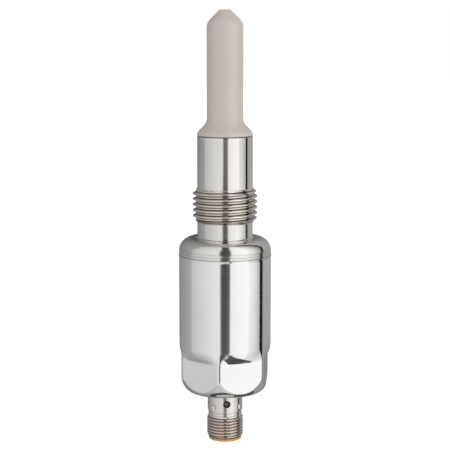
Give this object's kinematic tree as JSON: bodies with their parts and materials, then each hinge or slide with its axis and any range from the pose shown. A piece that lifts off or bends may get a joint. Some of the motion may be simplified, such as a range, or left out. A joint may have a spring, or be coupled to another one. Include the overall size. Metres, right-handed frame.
{
  "type": "point level sensor",
  "caption": "Compact point level sensor: plastic probe tip on a threaded steel process connection, round steel housing with wrench flats, and a screw plug with light windows.",
  "frame": {"origin": "on the axis, in the plane of the flat shoulder that the process seal lies on", "axes": "+Z along the axis towards the probe tip, -Y out of the middle of one wrench flat, +X out of a corner between two flats"},
  "size_m": [0.0308, 0.03, 0.1409],
  "materials": {
    "turned_steel": "fine turned stainless steel",
    "polished_steel": "polished stainless steel",
    "tip_plastic": "natural high-temperature plastic, machined satin",
    "amber_plastic": "translucent amber moulding",
    "gold_plate": "gold plated",
    "bare_brass": "turned",
    "seal_rubber": "matte",
    "insulator": "smooth",
    "circuit_board": "solder mask",
    "carrier_plastic": "moulded",
    "chip_plastic": "moulded",
    "tinned_metal": "tinned",
    "spring_steel": "drawn wire",
    "ferrite": "sintered",
    "ceramic": "fired ceramic",
    "led_lens": "clear cast"
  },
  "bodies": {
    "root": {"probe_tip": "tip_plastic", "process_connection": "turned_steel", "housing_can": "polished_steel", "connector_shell": "turned_steel", "contact_carrier": "amber_plastic", "contact_pin_1": "gold_plate", "contact_pin_2": "gold_plate", "contact_pin_3": "gold_plate", "contact_pin_4": "gold_plate", "carrier_seal": "seal_rubber", "tip_seal": "seal_rubber", "tip_nut": "bare_brass", "electrode": "bare_brass", "electrode_sleeve": "insulator", "contact_spring": "spring_steel", "spring_contact": "bare_brass", "main_board": "circuit_board", "board_carrier": "carrier_plastic", "connector_board": "circuit_board", "status_led_1": "led_lens", "status_led_2": "led_lens", "status_led_3": "led_lens", "status_led_4": "led_lens", "controller_chip": "chip_plastic", "measuring_chip": "chip_plastic", "voltage_regulator": "chip_plastic", "clock_crystal": "tinned_metal", "power_choke": "ferrite", "ceramic_capacitor_1": "ceramic", "ceramic_capacitor_2": "ceramic", "storage_capacitor_1": "tinned_metal", "storage_capacitor_2": "tinned_metal"}
  },
  "joints": []
}
